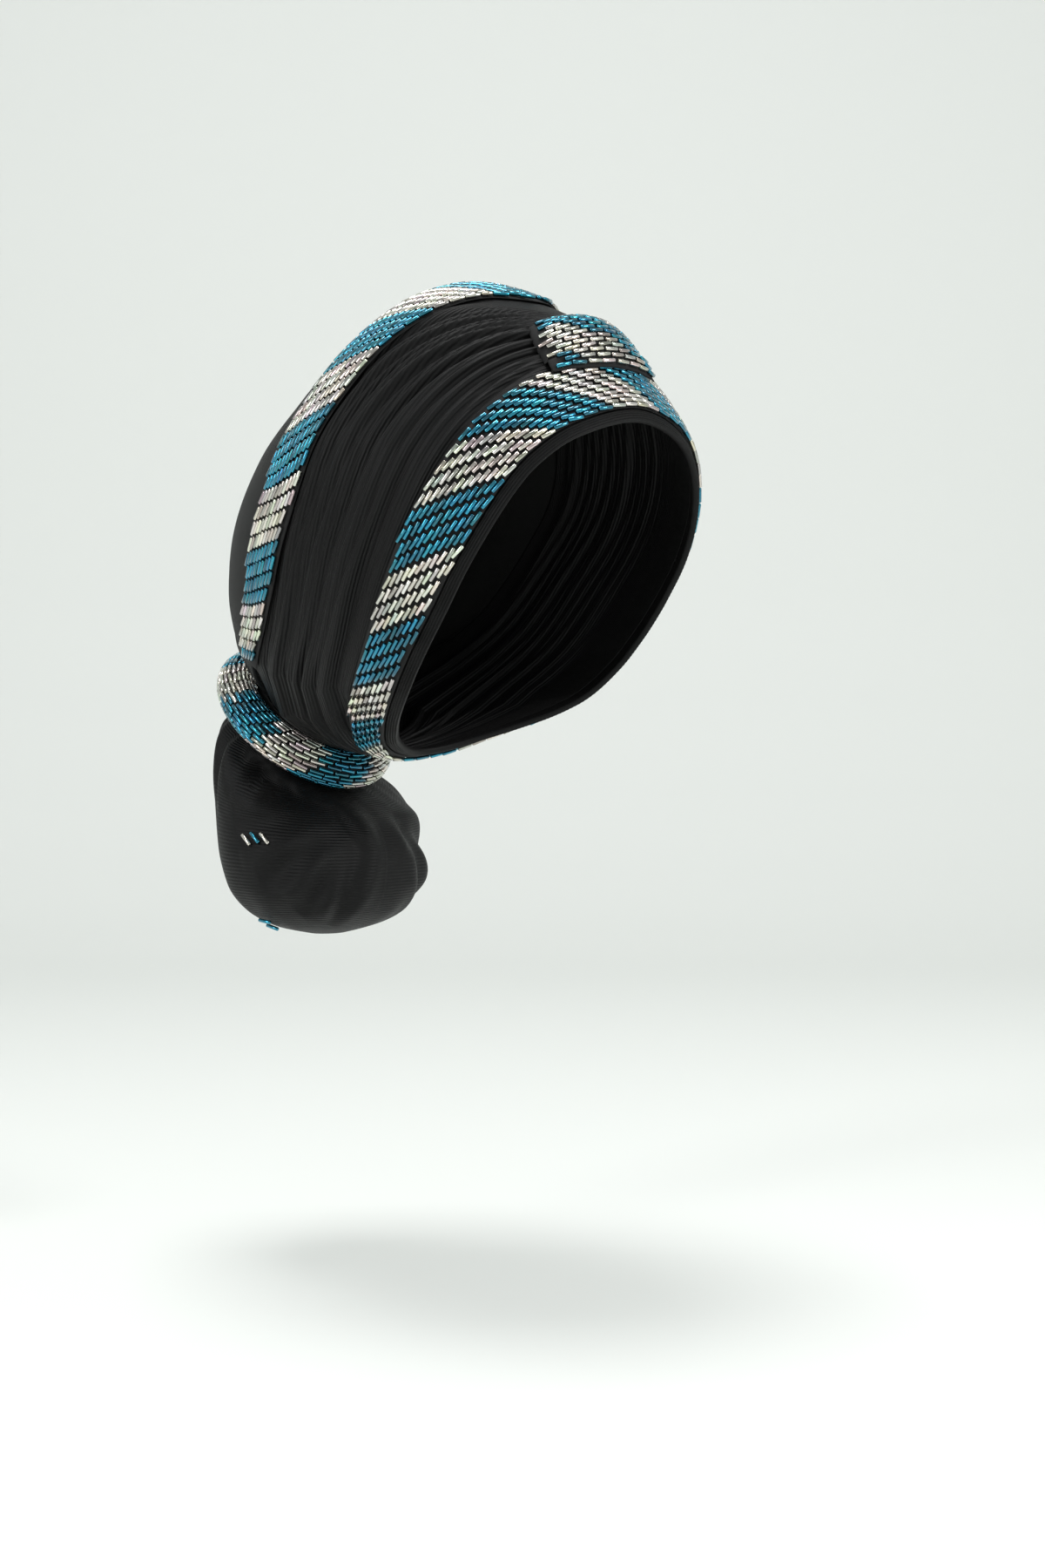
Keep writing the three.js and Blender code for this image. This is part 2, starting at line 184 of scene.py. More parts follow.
FOLDS = (
    Fold(0.25, 0.03, 0.9, 0.013, 0.05, 0.20),
    Fold(0.31, 0.03, 1.4, 0.014, 0.04, 0.30),
    Fold(0.36, 0.02, 1.9, 0.015, 0.03, 0.44),
    Fold(0.42, 0.05, 2.5, 0.017, 0.02, 0.50),
    Fold(0.475, 0.04, 1.8, 0.014, 0.04, 0.34),
    Fold(0.52, 0.05, 2.7, 0.018, 0.02, 0.50),
    Fold(0.575, 0.05, 2.0, 0.014, 0.03, 0.42),
    Fold(0.625, 0.05, 2.8, 0.018, 0.02, 0.50),
    Fold(0.675, 0.05, 2.2, 0.014, 0.03, 0.38),
    Fold(0.72, 0.06, 2.7, 0.017, 0.02, 0.50),
    Fold(0.78, 0.05, 2.0, 0.014, 0.03, 0.50),
    Fold(0.84, 0.04, 1.6, 0.013, 0.04, 0.30),
    Fold(0.90, 0.03, 1.4, 0.013, 0.03, 0.22),
    Fold(0.33, 0.0, 1.4, 0.014, 0.30, 0.52),
    Fold(0.50, 0.0, 1.8, 0.014, 0.33, 0.52),
    Fold(0.61, 0.0, 1.8, 0.013, 0.30, 0.52),
    Fold(0.73, 0.0, 1.6, 0.013, 0.28, 0.52),
    Fold(0.87, 0.0, 1.4, 0.012, 0.30, 0.52),
)


@dataclass(frozen=True)
class Crease:
    """A crease of the pouch, from one place (turn, down) to another; depth and width in millimetres."""

    turn: float
    down: float
    to_turn: float
    to_down: float
    depth: float
    width: float


CREASES = (
    Crease(22, 0.42, 100, 0.30, 5.0, 6.0),
    Crease(20, 0.47, 88, 0.52, 4.0, 5.0),
    Crease(20, 0.52, 75, 0.68, 3.6, 4.5),
    Crease(18, 0.57, 55, 0.80, 3.2, 4.5),
    Crease(14, 0.60, 34, 0.86, 2.6, 4.0),
    Crease(60, 0.24, 85, 0.42, 2.4, 4.0),
    Crease(110, 0.24, 118, 0.50, 2.0, 4.0),
    Crease(150, 0.24, 160, 0.60, 2.4, 5.0),
    Crease(195, 0.22, 200, 0.62, 2.6, 5.0),
    Crease(240, 0.24, 232, 0.55, 2.6, 5.0),
    Crease(290, 0.28, 262, 0.48, 3.6, 5.0),
    Crease(338, 0.50, 285, 0.66, 3.6, 5.0),
    Crease(335, 0.57, 300, 0.82, 3.0, 4.5),
)


# ---------------------------------------------------------------- smooth tables and the skull form


def through(table: np.ndarray, column: int, at: np.ndarray) -> np.ndarray:
    """A smooth curve through one column of a table that never overshoots its rows.

    Args:
        table: rows, with the input in column 0.
        column: the column to read.
        at: inputs.

    Returns:
        The column's value at each input.
    """
    x = table[:, 0]
    y = table[:, column]
    rise = np.diff(y) / np.diff(x)
    slope = np.zeros(len(x))
    before, after = rise[:-1], rise[1:]
    same = before * after > 0
    slope[1:-1] = np.where(same, 2 * before * after / np.where(same, before + after, 1), 0)
    i = np.clip(np.searchsorted(x, at, side="right") - 1, 0, len(x) - 2)
    span = x[i + 1] - x[i]
    f = np.clip((at - x[i]) / span, 0, 1)
    g = 1 - f
    ends = g * g * (1 + 2 * f) * y[i] + f * f * (3 - 2 * f) * y[i + 1]
    return ends + span * f * g * (g * slope[i] - f * slope[i + 1])


def unit(v: np.ndarray) -> np.ndarray:
    """Vectors of length 1.

    Args:
        v: vectors along the last axis.

    Returns:
        The same directions.
    """
    return v / np.maximum(np.linalg.norm(v, axis=-1, keepdims=True), 1e-12)


def smoothstep(x: np.ndarray, low: float, high: float) -> np.ndarray:
    """0 below low, 1 above high, and a smooth rise between.

    Args:
        x: inputs.
        low: where the rise starts.
        high: where it ends.

    Returns:
        Values from 0 to 1.
    """
    t = np.clip((x - low) / (high - low), 0, 1)
    return t * t * (3 - 2 * t)


def on_skull(direction: np.ndarray, lift: np.ndarray | float) -> np.ndarray:
    """The cloth's place in each direction: 1 / r^2 = (x / side)^2 + (y / fore)^2 over a level section.

    Args:
        direction: vectors from CENTRE.
        lift: height over the cloth's outer face.

    Returns:
        Points.
    """
    d = unit(direction)
    tilt = np.degrees(np.arccos(np.clip(d[..., 2], -1, 1)))
    level = np.maximum(np.hypot(d[..., 0], d[..., 1]), 1e-9)
    fore = np.where(d[..., 1] < 0, through(SKULL, 1, tilt), through(SKULL, 3, tilt))
    side = through(SKULL, 2, tilt)
    radius = 1 / np.hypot(d[..., 0] / level / side, d[..., 1] / level / fore)
    return CENTRE + d * (radius + lift)[..., None]


def on_cloth(direction: np.ndarray, lift: np.ndarray) -> np.ndarray:
    """As on_skull, but raised where the cloth climbs over the ring's roll and into it.

    Args:
        direction: vectors from CENTRE.
        lift: height over the cloth's outer face.

    Returns:
        Points.
    """
    point = on_skull(direction, lift)
    offset = point - RING_CENTRE
    height = offset @ RING_AXIS
    outward = np.hypot(offset[..., 0] / RING_WIDE, (offset @ RING_BACK) / RING_DEEP)
    reach = (outward - 1) * RING_WIDE
    needed = HEM_ABOVE * smoothstep(-reach, -HEM_REACH, 0) - lift
    below = smoothstep(-reach, -HEM_REACH - 4, -HEM_REACH)
    rise = np.where(height < needed, (needed - height) * below, 0)
    return point + rise[..., None] * RING_AXIS


def round_ring(turn: np.ndarray, wide: float, deep: float, above: float) -> np.ndarray:
    """Places round an oval parallel to the ring.

    Args:
        turn: degrees, 0 at the front, growing over the wearer's right.
        wide: half width.
        deep: half length.
        above: height over the ring's plane.

    Returns:
        Points.
    """
    t = np.radians(turn)[..., None]
    side = np.array([-wide, 0, 0])
    return RING_CENTRE + above * RING_AXIS - deep * np.cos(t) * RING_BACK + np.sin(t) * side


def hem_direction(turn: np.ndarray) -> np.ndarray:
    """Direction from CENTRE to the cloth's hem above the ring.

    Args:
        turn: degrees round the ring.

    Returns:
        Unit vectors.
    """
    return unit(round_ring(turn, RING_WIDE - 7.5, RING_DEEP - 8, HEM_ABOVE) - CENTRE)


@dataclass
class BandPath:
    """The middle line of a band, dropped on the skull form."""

    rows: tuple
    closed: bool
    share: np.ndarray = field(init=False)
    here: np.ndarray = field(init=False)
    sideways: np.ndarray = field(init=False)
    half: np.ndarray = field(init=False)
    length: np.ndarray = field(init=False)

    def __post_init__(self) -> None:
        """Samples the line: points, sideways vectors, half widths and length so far."""
        right = [(-o, b, u, w) for o, b, u, w in self.rows]
        left = [(o, b, u, w) for o, b, u, w in self.rows]
        whole = right[::-1] + (left[1:-1] if self.closed else left[1:])
        knots = np.array(whole, float)
        n = len(knots)
        spans = n if self.closed else n - 1
        self.share = np.linspace(0, 1, 2401)
        at = self.share * spans
        i = np.minimum(at.astype(int), spans - 1)
        f = (at - i)[:, None]
        if self.closed:
            p0, p1, p2, p3 = (knots[(i + k) % n] for k in (-1, 0, 1, 2))
        else:
            ends = np.vstack([2 * knots[0] - knots[1], knots, 2 * knots[-1] - knots[-2]])
            p0, p1, p2, p3 = (ends[i + k] for k in (0, 1, 2, 3))
        m1 = (p2 - p0) / 2
        m2 = (p3 - p1) / 2
        line = (
            (2 * f**3 - 3 * f**2 + 1) * p1
            + (f**3 - 2 * f**2 + f) * m1
            + (3 * f**2 - 2 * f**3) * p2
            + (f**3 - f**2) * m2
        )
        self.here = on_skull(line[:, :3] - CENTRE, 0.0)
        self.half = line[:, 3] / 2
        if self.closed:
            ring = np.vstack([self.here[-2:-1], self.here, self.here[1:2]])
            run = ring[2:] - ring[:-2]
        else:
            run = np.gradient(self.here, axis=0)
        self.sideways = unit(np.cross(unit(self.here - CENTRE), unit(run)))
        steps = np.linalg.norm(np.diff(self.here, axis=0), axis=1)
        self.length = np.concatenate([[0], np.cumsum(steps)])

    def mix(self, values: np.ndarray, share: np.ndarray) -> np.ndarray:
        """Reads a sampled column at shares of the path.

        Args:
            values: one row a sample.
            share: 0 to 1 over the path, wrapped where closed.

        Returns:
            The values there.
        """
        at = share % 1 if self.closed else np.clip(share, 0, 1)
        if values.ndim == 1:
            return np.interp(at, self.share, values)
        return np.stack([np.interp(at, self.share, values[:, k]) for k in range(3)], -1)

    def direction(self, share: np.ndarray, side: np.ndarray) -> np.ndarray:
        """Direction from CENTRE to a place on the band.

        Args:
            share: 0 to 1 over the path.
            side: millimetres from the middle line, positive away from the face.

        Returns:
            Unit vectors.
        """
        here = self.mix(self.here, share)
        return unit(here + self.mix(self.sideways, share) * side[..., None] - CENTRE)

    def place(self, run: np.ndarray, side: np.ndarray, lift: np.ndarray | float) -> np.ndarray:
        """A point on the band from lengths.

        Args:
            run: millimetres along the middle line.
            side: millimetres from it.
            lift: height over the cloth.

        Returns:
            Points.
        """
        share = np.interp(run, self.length, self.share)
        return on_skull(self.direction(share, side), lift)


FACE_PATH = BandPath(FACE_BAND, True)
CROWN_PATH = BandPath(CROWN_STRAP, False)


# ---------------------------------------------------------------- meshes


@dataclass
class Shape:
    """Points in millimetres and quads, with a flat place and a tint for each point."""

    points: np.ndarray
    quads: np.ndarray
    flat: np.ndarray
    tint: np.ndarray | None = None

    def joined(self, other: "Shape") -> "Shape":
        """This shape and another as one.

        Args:
            other: the shape to add.

        Returns:
            The joined shape.
        """
        tints = None if self.tint is None else np.vstack([self.tint, other.tint])
        return Shape(
            np.vstack([self.points, other.points]),
            np.vstack([self.quads, other.quads + len(self.points)]),
            np.vstack([self.flat, other.flat]),
            tints,
        )


def walled(outer: np.ndarray, inner: np.ndarray, flat: np.ndarray, looped: bool) -> Shape:
    """A closed sheet from its two faces.

    Args:
        outer: outer face, a grid of points.
        inner: inner face.
        flat: flat place of each grid point, in millimetres.
        looped: whether the first axis closes on itself.

    Returns:
        The shape.
    """
    rows, columns = outer.shape[:2]
    i, j = np.meshgrid(np.arange(rows if looped else rows - 1), np.arange(columns - 1), indexing="ij")
    i, j = i.ravel(), j.ravel()
    nxt = (i + 1) % rows
    layer = rows * columns
    a, b, c, d = i * columns + j, nxt * columns + j, nxt * columns + j + 1, i * columns + j + 1
    faces = [np.stack([a, b, c, d], 1), np.stack([a, d, c, b], 1) + layer]
    k = np.arange(rows if looped else rows - 1)
    kn = (k + 1) % rows
    for edge, turned in ((0, False), (columns - 1, True)):
        p, q = k * columns + edge, kn * columns + edge
        rim = np.stack([p, p + layer, q + layer, q], 1)
        faces.append(rim[:, ::-1] if turned else rim)
    if not looped:
        m = np.arange(columns - 1)
        for row, turned in ((0, False), (rows - 1, True)):
            p, q = row * columns + m, row * columns + m + 1
            rim = np.stack([p, q, q + layer, p + layer], 1)
            faces.append(rim[:, ::-1] if turned else rim)
    points = np.vstack([outer.reshape(-1, 3), inner.reshape(-1, 3)])
    shape = Shape(points, np.vstack(faces), np.tile(flat.reshape(-1, 2), (2, 1)))
    return facing_out(shape)


def facing_out(shape: Shape) -> Shape:
    """Turns the quads round if they face inwards.

    Args:
        shape: a closed shape.

    Returns:
        The shape, facing out.
    """
    p = shape.points - shape.points.mean(0)
    a, b, c, d = (p[shape.quads[:, k]] for k in range(4))
    volume = (a * (np.cross(b, c) + np.cross(c, d))).sum()
    if volume < 0:
        shape.quads = shape.quads[:, ::-1]
    return shape


def tubes(
    centre: np.ndarray, along: np.ndarray, up: np.ndarray, tint: np.ndarray, length: np.ndarray
) -> Shape:
    """Glass tubes as one joined mesh: eight sides, four rings and two flat ends each.

    Args:
        centre: middle of each tube.
        along: direction of each tube.
        up: direction away from the cloth.
        tint: colour of each tube.
        length: length of each tube.

    Returns:
        The joined shape.
    """
    sides = 8
    angle = (np.arange(sides) + 0.5) * 2 * np.pi / sides
    rings = np.array([(-0.5, 0.78), (-0.465, 1.0), (0.465, 1.0), (0.5, 0.78)])
    x = unit(along)
    z = unit(up - (up * x).sum(-1, keepdims=True) * x)
    y = np.cross(z, x)
    local = np.stack(
        [
            np.repeat(rings[:, 0], sides),
            np.outer(rings[:, 1], np.cos(angle)).ravel() * BEAD_RADIUS,
            np.outer(rings[:, 1], np.sin(angle)).ravel() * BEAD_RADIUS,
        ],
        1,
    )
    frame = np.stack([x * length[:, None], y, z], 1)
    points = np.einsum("vk,nkc->nvc", local, frame) + centre[:, None]
    k = np.arange(sides)
    body = [
        np.stack([r * sides + k, r * sides + (k + 1) % sides, (r + 1) * sides + (k + 1) % sides,
                  (r + 1) * sides + k], 1)
        for r in range(3)
    ]
    end = np.array([(0, 1, 2, 3), (0, 3, 4, 7), (4, 5, 6, 7)])
    one = np.vstack([*body, end[:, ::-1], end + 3 * sides])
    count = len(centre)
    quads = (one[None] + (np.arange(count) * len(local))[:, None, None]).reshape(-1, 4)
    flat = np.tile(local[:, :2], (count, 1))
    return Shape(points.reshape(-1, 3), quads, flat, np.repeat(tint, len(local), 0))


def make_object(name: str, shape: Shape, material: bpy.types.Material) -> bpy.types.Object:
    """A Blender object from a shape.

    Args:
        name: object name.
        shape: the shape, in millimetres.
        material: its material.

    Returns:
        The object, at the origin.
    """
    mesh = bpy.data.meshes.new(name)
    count = len(shape.quads)
    mesh.vertices.add(len(shape.points))
    mesh.vertices.foreach_set("co", (shape.points * MM).astype(np.float32).ravel())
    mesh.loops.add(count * 4)
    mesh.loops.foreach_set("vertex_index", shape.quads.astype(np.int32).ravel())
    mesh.polygons.add(count)
    mesh.polygons.foreach_set("loop_start", np.arange(0, count * 4, 4, dtype=np.int32))
    mesh.update(calc_edges=True)
    mesh.validate()
    mesh.polygons.foreach_set("use_smooth", np.ones(len(mesh.polygons), bool))
    layer = mesh.uv_layers.new(name="flat")
    order = np.empty(len(mesh.loops), np.int32)
    mesh.loops.foreach_get("vertex_index", order)
    layer.data.foreach_set("uv", (shape.flat[order] * MM * 10).astype(np.float32).ravel())
    if shape.tint is not None:
        colours = mesh.attributes.new("tint", "FLOAT_COLOR", "POINT")
        rgba = np.hstack([shape.tint, np.ones((len(shape.tint), 1))])
        colours.data.foreach_set("color", rgba.astype(np.float32).ravel())
    mesh.materials.append(material)
    made = bpy.data.objects.new(name, mesh)
    bpy.context.collection.objects.link(made)
    area = sum(p.area for p in mesh.polygons)
    LOG.info("%s: %d quads, surface %.4f m2", name, count, area)
    return made


# ---------------------------------------------------------------- finishes


def new_material(name: str) -> tuple[bpy.types.Material, bpy.types.Node, bpy.types.NodeTree]:
    """An empty node material with its principled shader.

    Args:
        name: material name.

    Returns:
        The material, its shader and its tree.
    """
    material = bpy.data.materials.new(name)
    material.use_nodes = True
    tree = material.node_tree
    return material, tree.nodes["Principled BSDF"], tree


@dataclass(frozen=True)
class JerseyFinish:
    """Black knit: colour, roughness, fuzz, and the spacing and height of its ribs."""

    name: str = "black_jersey"
    colour: tuple = (0.0022, 0.0022, 0.0023, 1)
    roughness: float = 0.56
    sheen: float = 0.012
    rib: float = 1.1
    bump: float = 0.45

    def make(self) -> bpy.types.Material:
        """Builds the material.

        Returns:
            The material.
        """
        material, shader, tree = new_material(self.name)
        shader.inputs["Base Color"].default_value = self.colour
        shader.inputs["Roughness"].default_value = self.roughness
        shader.inputs["Specular IOR Level"].default_value = 0.2
        shader.inputs["Sheen Weight"].default_value = self.sheen
        shader.inputs["Sheen Roughness"].default_value = 0.4
        uv = tree.nodes.new("ShaderNodeUVMap")
        uv.uv_map = "flat"
        wave = tree.nodes.new("ShaderNodeTexWave")
        wave.bands_direction = "Y"
        wave.inputs["Scale"].default_value = 0.314 / (self.rib * MM * 10)
        wave.inputs["Distortion"].default_value = 0.8
        wave.inputs["Detail"].default_value = 1.0
        noise = tree.nodes.new("ShaderNodeTexNoise")
        noise.inputs["Scale"].default_value = 260.0
        mixed = tree.nodes.new("ShaderNodeMath")
        mixed.operation = "MULTIPLY_ADD"
        mixed.inputs[1].default_value = 0.5
        bump = tree.nodes.new("ShaderNodeBump")
        bump.inputs["Strength"].default_value = self.bump
        bump.inputs["Distance"].default_value = 0.0005
        tree.links.new(uv.outputs["UV"], wave.inputs["Vector"])
        tree.links.new(uv.outputs["UV"], noise.inputs["Vector"])
        tree.links.new(noise.outputs["Fac"], mixed.inputs[0])
        tree.links.new(wave.outputs["Fac"], mixed.inputs[2])
        tree.links.new(mixed.outputs[0], bump.inputs["Height"])
        tree.links.new(bump.outputs["Normal"], shader.inputs["Normal"])
        return material


@dataclass(frozen=True)
class BeadFinish:
    """Glass tube over a bright lining, in each bead's own tint."""

    name: str = "lined_glass"
    metallic: float = 0.92
    roughness: float = 0.2

    def make(self) -> bpy.types.Material:
        """Builds the material.

        Returns:
            The material.
        """
        material, shader, tree = new_material(self.name)
        tint = tree.nodes.new("ShaderNodeAttribute")
        tint.attribute_name = "tint"
        tree.links.new(tint.outputs["Color"], shader.inputs["Base Color"])
        shader.inputs["Metallic"].default_value = self.metallic
        shader.inputs["Roughness"].default_value = self.roughness
        shader.inputs["Coat Weight"].default_value = 1.0
        shader.inputs["Coat Roughness"].default_value = 0.06
        shader.inputs["Coat IOR"].default_value = 1.52
        return material


@dataclass(frozen=True)
class PlainFinish:
    """A plain surface."""

    name: str
    colour: tuple
    roughness: float

    def make(self) -> bpy.types.Material:
        """Builds the material.

        Returns:
            The material.
        """
        material, shader, _ = new_material(self.name)
        shader.inputs["Base Color"].default_value = self.colour
        shader.inputs["Roughness"].default_value = self.roughness
        return material


@dataclass
class Finishes:
    """The materials that the pieces share."""

    jersey: bpy.types.Material
    ribbed: bpy.types.Material
    beads: bpy.types.Material
    backing: bpy.types.Material


def settle(piece: bpy.types.Object, node: str | None) -> None:
    """Ties a piece to the frame.

    Args:
        piece: the object.
        node: the node it stands for, if any.
    """
    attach(piece, "root")
    if node:
        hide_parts(node)


# ---------------------------------------------------------------- pieces


def tints(blue: np.ndarray, rng: np.random.Generator) -> np.ndarray:
    """Colours of beads, each a little different.

    Args:
        blue: whether each bead is blue.
        rng: source of the variation.

    Returns:
        One colour a bead.
    """
    base = np.where(blue[:, None], Tone.BLUE.value, Tone.SILVER.value)
    shade = rng.uniform(0.5, 1.35, (len(blue), 1))
    drift = rng.normal(0, 0.05, (len(blue), 3))
    return np.clip(base * shade * (1 + drift), 0, 0.95)


@dataclass
class BeadedBand:
    """A band of tubes that lie along it, in skewed rows on a black backing."""

    name: str
    node: str
    path: BandPath
    phase: float
    row: float
    skew: float
    flat: tuple
    seed: int

    def backing(self) -> Shape:
        """The strip under the beads.

        Returns:
            Its shape.
        """
        share = np.linspace(0, 1, 361)[: -1 if self.path.closed else None]
        across = np.linspace(-1, 1, 15)
        u, v = np.meshgrid(share, across, indexing="ij")
        side = v * self.path.mix(self.path.half, u)
        direction = self.path.direction(u, side)
        flat = np.stack([u * self.path.length[-1], side], -1)
        top = on_skull(direction, BAND_LIFT + 0.7 - 0.5 * v**6)
        return walled(top, on_skull(direction, BAND_LIFT), flat, self.path.closed)

    def beads(self) -> Shape:
        """The tubes.

        Returns:
            Their joined shape.
        """
        rng = np.random.default_rng(self.seed)
        total = self.path.length[-1]
        rows = round(total / self.row)
        if self.path.closed:
            rows = round(total / self.row / (2 * STRIPE)) * 2 * STRIPE
        pitch = total / rows
        columns = np.arange(12) - 5.5
        k, c = np.meshgrid(np.arange(-9, rows + 9), columns, indexing="ij")
        k, c = k.ravel(), c.ravel()
        run = (k + self.phase) * pitch - self.skew * c
        keep = (run >= 0) & (run < total) if self.path.closed else (run > 3.6) & (run < total - 3.6)
        side = c * COLUMN
        half = np.interp(run, self.path.length, self.path.half)
        keep &= np.abs(side) < half - 0.9
        run, side, k = run[keep], side[keep], k[keep]
        run = run + rng.normal(0, 0.16, len(run))
        side = side + rng.normal(0, 0.07, len(run))
        lift = BAND_LIFT + 0.75 + BEAD_RADIUS + rng.normal(0, 0.07, len(run))
        reach = 1.0
        wrap = total if self.path.closed else None
        ahead = run + reach if wrap is None else (run + reach) % wrap
        behind = run - reach if wrap is None else (run - reach) % wrap
        along = self.path.place(ahead, side, 0) - self.path.place(behind, side, 0)
        stretch = np.linalg.norm(along, axis=1) / (2 * reach)
        length = np.clip(pitch * stretch - 0.6, 3.0, BEAD_LENGTH)
        along = unit(along)
        across = self.path.place(run, side + reach, 0) - self.path.place(run, side - reach, 0)
        up = unit(np.cross(along, unit(across)))
        centre = self.path.place(run, side, lift)
        up *= np.sign((up * (centre - CENTRE)).sum(-1, keepdims=True))
        along = unit(along - unit(across) * rng.normal(LEAN, 0.04, (len(run), 1)))
        blue = np.floor(k / STRIPE).astype(int) % 2 == 0
        return tubes(centre, along, up, tints(blue, rng), length)

    def build(self, finishes: Finishes) -> None:
        """Makes the band.

        Args:
            finishes: the materials.
        """
        strip = make_object(self.name + "_backing", self.backing(), finishes.backing)
        beads = make_object(self.name + "_beads", self.beads(), finishes.beads)
        settle(beads, self.node)
        settle(strip, self.node)


@dataclass
class Trim:
    """The ribbed edge of the face band: rows of stitching along a flat roll."""

    ribs: int = 5
    flat: tuple = (0.01, 0.5)

    def build(self, finishes: Finishes) -> None:
        """Makes the trim.

        Args:
            finishes: the materials.
        """
        share = np.linspace(0, 1, 901)[:-1]
        across = np.linspace(0, 1, 26)
        u, v = np.meshgrid(share, across, indexing="ij")
        side = -FACE_PATH.mix(FACE_PATH.half, u) - 0.3 - TRIM_WIDTH * (1 - v)
        direction = FACE_PATH.direction(u, side)
        run = u * FACE_PATH.length[-1]
        ridge = np.abs(np.sin(np.pi * self.ribs * v)) ** 0.7
        stitch = 0.5 + 0.5 * np.cos(2 * np.pi * (run / 1.9 + 0.5 * np.floor(self.ribs * v)))
        round_off = np.sqrt(np.clip(1 - (2 * v - 1) ** 6, 0, 1))
        lift = 1.4 * round_off - 0.45 + 0.6 * (ridge - 1) * round_off + 0.16 * stitch * ridge * round_off
        flat = np.stack([run, side], -1)
        shape = walled(on_skull(direction, lift), on_skull(direction, np.full_like(lift, -CLOTH)), flat, True)
        trim = make_object("ribbed_trim", shape, finishes.ribbed)
        settle(trim, "face_trim")


@dataclass
class Drape:
    """Pleated jersey between the bands: folds gather at the knot and at the nape."""

    along: int = 280
    across: int = 160
    flat: tuple = (0.10, 0.60)

    def folds(self, u: np.ndarray, v: np.ndarray) -> np.ndarray:
        """Height of the pleats: each a sharp groove with a soft ridge beside it.

        Args:
            u: 0 to 1 round the drape, 0.5 at the knot.
            v: 0 to 1 from the face edge to the crown strap.

        Returns:
            Height in millimetres.
        """
        away = np.abs(u - 0.5)
        gather = 1 - 0.52 * np.exp(-((away / 0.09) ** 2))
        place = 0.42 + (v - 0.42) / gather
        height = np.zeros_like(u)
        for number, fold in enumerate(FOLDS):
            wander = 0.006 * np.sin(19 * away + 2.1 * number)
            at = fold.at + fold.drift * smoothstep(away, 0.05, 0.4) * 2 + wander
            x = (place - at) / fold.width
            shown = smoothstep(away, fold.near - 0.03, fold.near + 0.03)
            shown = shown * (1 - smoothstep(away, fold.far - 0.08, fold.far + 0.02))
            middle = 1 - 0.45 * smoothstep(away, 0.08, 0.2) * (1 - smoothstep(away, 0.3, 0.42))
            groove = -np.exp(-(np.where(x < 0, x / 0.75, x / 1.5) ** 2))
            ridge = 0.55 * np.exp(-(((x + 2.4) / 1.7) ** 2))
            height += 1.35 * fold.depth * shown * middle * (groove + ridge)
        broad = 0.9 * np.sin(38 * place + 5 * away + 1.2) + 0.6 * np.sin(21 * place - 9 * away)
        height += broad * smoothstep(away, 0.03, 0.1)
        calm = smoothstep(v, 0.16, 0.30) * (1 - smoothstep(v, 0.86, 0.98))
        under_knot = 1 - 0.8 * np.exp(-((away / 0.045) ** 4)) * (v < 0.62)
        return np.clip(height, -4.0, 1.8) * calm * under_knot

    def build(self, finishes: Finishes) -> None:
        """Makes the drape.

        Args:
            finishes: the materials.
        """
        u, v = np.meshgrid(np.arange(self.along) / self.along, np.linspace(0, 1, self.across), indexing="ij")
        front = FACE_PATH.direction(u, -FACE_PATH.mix(FACE_PATH.half, u))
        near = np.minimum(u, 1 - u) / HEM_SHARE
        sign = np.where(u < 0.5, 1.0, -1.0)
        hem = hem_direction(sign * np.minimum(near, 1) * HEM_CORNER)
        strap = CROWN_PATH.direction((u - HEM_SHARE) / (1 - 2 * HEM_SHARE), np.full_like(u, -0.15))
        rear = np.where((near < 1)[..., None], hem, strap)
        direction = unit(front * (1 - v[..., None]) + rear * v[..., None])
        height = self.folds(u, v)
        outer = on_cloth(direction, height)
        inner = on_cloth(direction, height * 0.6 - CLOTH)
        flat = np.stack([u * 560, v * 95], -1)
        drape = make_object("drape", walled(outer, inner, flat, True), finishes.jersey)
        settle(drape, "pleated_drape")


@dataclass
class Cap:
    """Smooth jersey behind the crown strap, gathered where it goes into the ring."""

    flat: tuple = (0.2, 0.2)

    def build(self, finishes: Finishes) -> None:
        """Makes the cap.

        Args:
            finishes: the materials.
        """
        u, v = np.meshgrid(np.linspace(0, 1, 190), np.linspace(0, 1, 110), indexing="ij")
        front = CROWN_PATH.direction(u, np.full_like(u, 0.15))
        rear = hem_direction(HEM_CORNER + 1 + u * (358 - 2 * HEM_CORNER))
        direction = unit(front * (1 - v[..., None]) + rear * v[..., None])
        pleats = np.cos(2 * np.pi * 15 * u + 1.5 * np.sin(9 * u)) + 0.5 * np.cos(2 * np.pi * 26 * u)
        gather = smoothstep(v, 0.62, 0.95) * (1 - 0.6 * smoothstep(v, 0.95, 1.0))
        sag = 0.6 * np.sin(7 * u + 4 * v) * np.sin(np.pi * v) * np.sin(np.pi * u)
        height = 0.7 * (pleats - 1.2) * gather + sag - 0.3
        outer = on_cloth(direction, height)
        inner = on_cloth(direction, height * 0.6 - CLOTH)
        flat = np.stack([u * 330, v * 170], -1)
        cap = make_object("cap", walled(outer, inner, flat, False), finishes.jersey)
        settle(cap, "back_cap")


